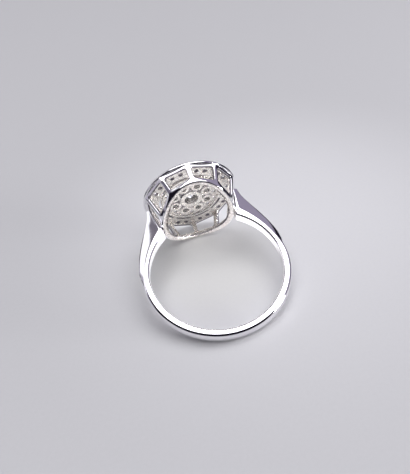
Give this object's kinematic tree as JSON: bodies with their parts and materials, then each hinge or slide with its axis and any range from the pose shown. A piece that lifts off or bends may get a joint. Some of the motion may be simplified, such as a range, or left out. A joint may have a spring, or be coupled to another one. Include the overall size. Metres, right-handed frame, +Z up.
{
  "type": "openwork ring",
  "caption": "Finger ring with a slim shank, bladed shoulders, a windowed openwork basket and a round plate set with brilliants.",
  "frame": {"origin": "centre of the part's box at the surface it lies on", "axes": "+Z up from the surface, +X across the finger from shoulder to shoulder, +Y from the back of the shank towards the plate; the finger's axis leans 16.3 degrees from Z, because the ring lies on its base rim and the side of its shank"},
  "size_m": [0.0194, 0.0236, 0.0135],
  "materials": {
    "white_gold": "polished white gold, rhodium bright outside and softer inside the basket",
    "brilliant": "clear brilliant cut, polished facets"
  },
  "bodies": {
    "root": {"mounting": "white_gold", "centre_stone": "brilliant", "rosette_stone_1": "brilliant", "rosette_stone_2": "brilliant", "rosette_stone_3": "brilliant", "rosette_stone_4": "brilliant", "rosette_stone_5": "brilliant", "rosette_stone_6": "brilliant", "rosette_stone_7": "brilliant", "rosette_stone_8": "brilliant", "small_stone_1": "brilliant", "small_stone_2": "brilliant", "small_stone_3": "brilliant", "small_stone_4": "brilliant", "small_stone_5": "brilliant", "small_stone_6": "brilliant", "small_stone_7": "brilliant", "small_stone_8": "brilliant", "border_stone_1": "brilliant", "border_stone_2": "brilliant", "border_stone_3": "brilliant", "border_stone_4": "brilliant", "border_stone_5": "brilliant", "border_stone_6": "brilliant", "border_stone_7": "brilliant", "border_stone_8": "brilliant", "border_stone_9": "brilliant", "border_stone_10": "brilliant", "border_stone_11": "brilliant", "border_stone_12": "brilliant", "border_stone_13": "brilliant", "border_stone_14": "brilliant", "border_stone_15": "brilliant", "border_stone_16": "brilliant", "border_stone_17": "brilliant", "border_stone_18": "brilliant", "border_stone_19": "brilliant", "border_stone_20": "brilliant"}
  },
  "joints": []
}
